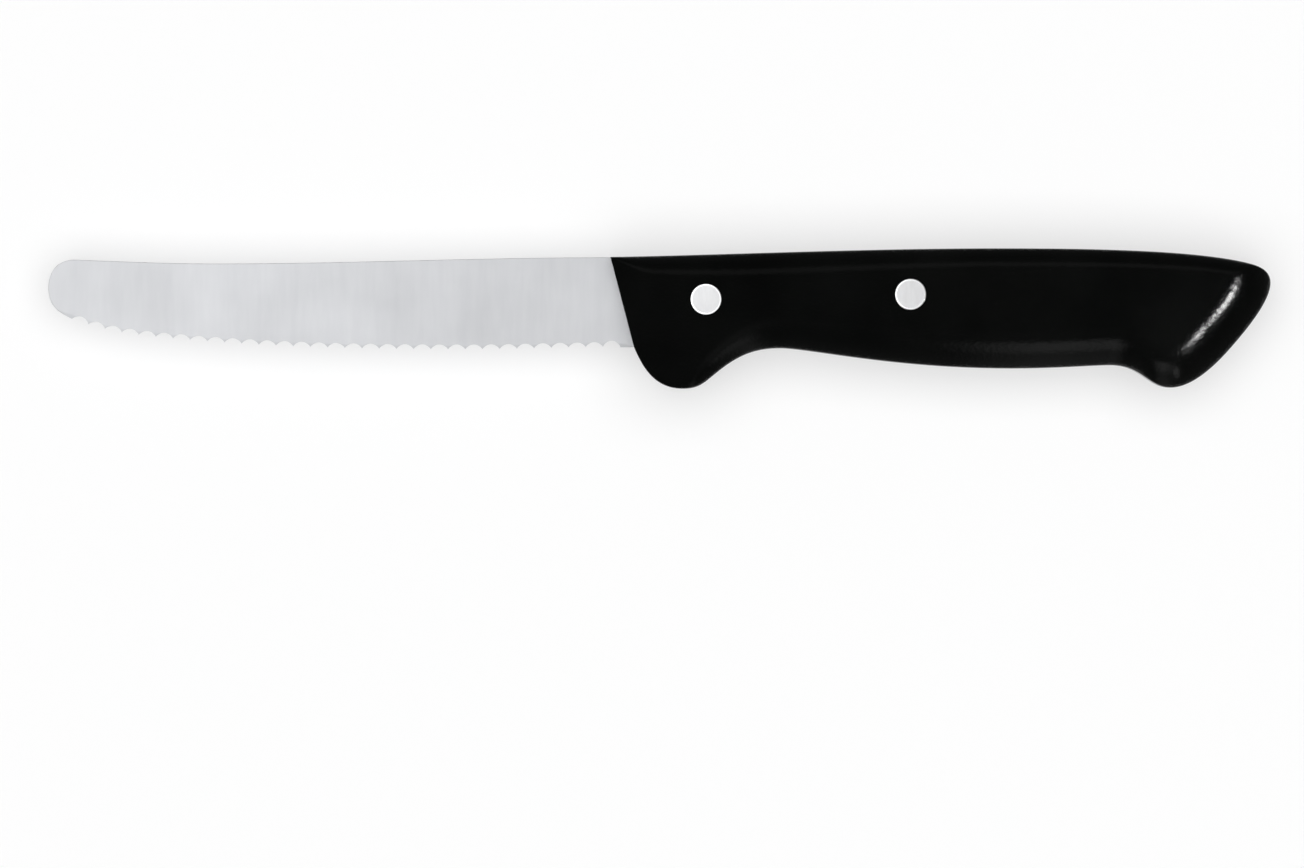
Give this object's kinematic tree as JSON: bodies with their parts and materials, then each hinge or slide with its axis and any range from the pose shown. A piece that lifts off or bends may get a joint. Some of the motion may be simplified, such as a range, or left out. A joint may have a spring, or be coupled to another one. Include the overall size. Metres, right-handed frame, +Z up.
{
  "type": "serrated utility knife",
  "caption": "Small kitchen knife with a rounded tip, a scalloped cutting edge and a black riveted plastic handle with a finger guard and a hooked butt.",
  "frame": {"origin": "under the middle of the knife's box, on the plane of the handle's side face that it rests on", "axes": "the knife lies on its side: +X along it towards the butt, -X the tip, +Y the spine, -Y the cutting edge, +Z up out of the visible side"},
  "size_m": [0.2128, 0.0244, 0.014],
  "materials": {
    "blade_steel": "fine satin grinding across the blade",
    "handle_plastic": "black moulded plastic, satin gloss",
    "front_post_metal": "ground flush and polished",
    "front_sleeve_metal": "ground flush and polished",
    "rear_post_metal": "ground flush and polished",
    "rear_sleeve_metal": "ground flush and polished"
  },
  "bodies": {
    "root": {"blade": "blade_steel", "handle": "handle_plastic", "front_rivet_post": "front_post_metal", "front_rivet_sleeve": "front_sleeve_metal", "rear_rivet_post": "rear_post_metal", "rear_rivet_sleeve": "rear_sleeve_metal"}
  },
  "joints": []
}
